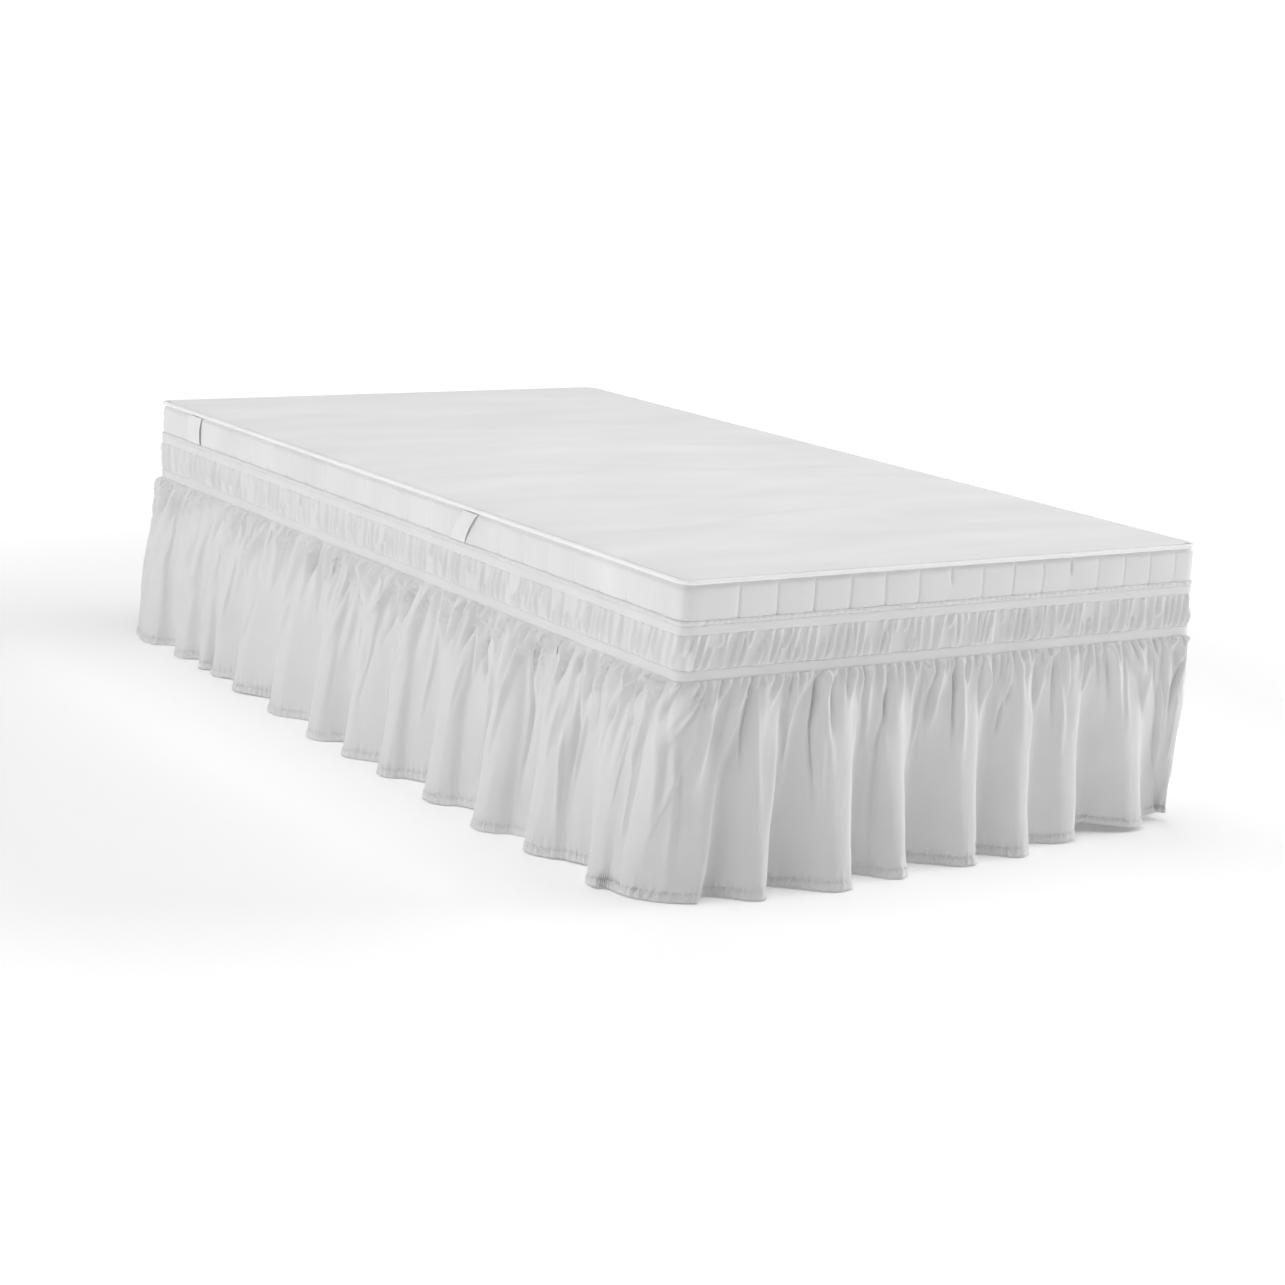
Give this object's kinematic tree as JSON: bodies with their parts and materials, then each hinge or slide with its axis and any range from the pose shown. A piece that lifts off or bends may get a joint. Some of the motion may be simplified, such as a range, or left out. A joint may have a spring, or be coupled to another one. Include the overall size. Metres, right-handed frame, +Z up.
{
  "type": "bed skirt on a mattress and bed base",
  "caption": "Gathered cloth bed skirt held by two elastic bands round a mattress, hanging in folds to the floor, with a plain base and legs inside.",
  "frame": {"origin": "on the floor under the middle of the bed", "axes": "+Y from the foot of the bed to its head, +X to the right seen from the foot, +Z up"},
  "size_m": [1.208, 2.123, 0.4708],
  "materials": {
    "skirt_cotton": "matt white cotton",
    "elastic": "white stitched elastic",
    "ticking": "pale grey-white mattress cover",
    "piping": "smooth white welt",
    "webbing": "white webbing",
    "painted_wood": "satin paint"
  },
  "bodies": {
    "root": {"skirt_cloth": "skirt_cotton", "upper_elastic_band": "elastic", "lower_elastic_band": "elastic", "mattress": "ticking", "mattress_piping": "piping", "handle_strap_foot": "webbing", "handle_strap_head": "webbing", "bed_base": "painted_wood", "leg_1": "painted_wood", "leg_2": "painted_wood", "leg_3": "painted_wood", "leg_4": "painted_wood"}
  },
  "joints": []
}
